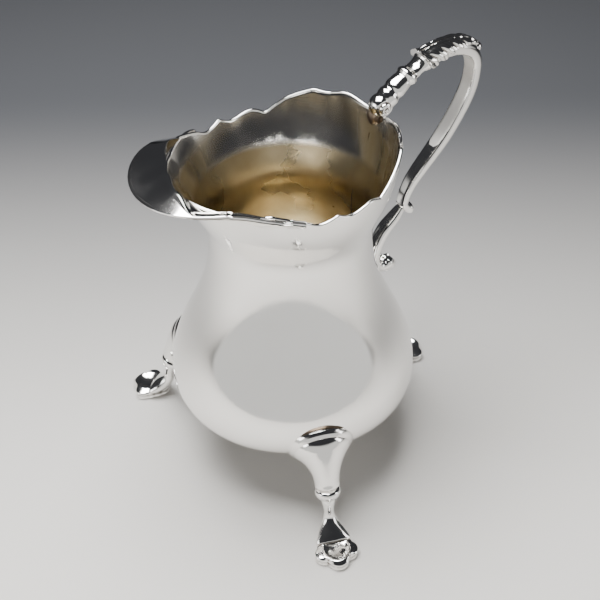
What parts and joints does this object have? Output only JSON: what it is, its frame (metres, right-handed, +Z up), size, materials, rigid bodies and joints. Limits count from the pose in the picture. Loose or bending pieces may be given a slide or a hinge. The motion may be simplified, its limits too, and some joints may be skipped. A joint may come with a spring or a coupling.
{
  "type": "cream jug",
  "caption": "Pear-shaped cream jug with a scalloped rim, a broad tongue lip, a leaf-capped double scroll handle and hoof feet on knee pads.",
  "frame": {"origin": "middle of the object's box at the surface it stands on", "axes": "+Z up, +X towards the handle, -X towards the pouring lip"},
  "size_m": [0.0972, 0.091, 0.1084],
  "materials": {
    "sheet_silver": "polished raised silver, yellow-brown tarnish inside",
    "cast_silver": "polished cast silver, dark tarnish in the recesses"
  },
  "bodies": {
    "root": {"base_disc": "sheet_silver", "body_wall": "sheet_silver", "front_left_knee_pad": "cast_silver", "front_left_leg": "cast_silver", "front_right_knee_pad": "cast_silver", "front_right_leg": "cast_silver", "handle_leaf_cap": "cast_silver", "handle_lower_scroll": "cast_silver", "handle_rim_volute": "cast_silver", "handle_upper_scroll": "cast_silver", "pouring_lip": "sheet_silver", "rear_knee_pad": "cast_silver", "rear_leg": "cast_silver"}
  },
  "joints": []
}
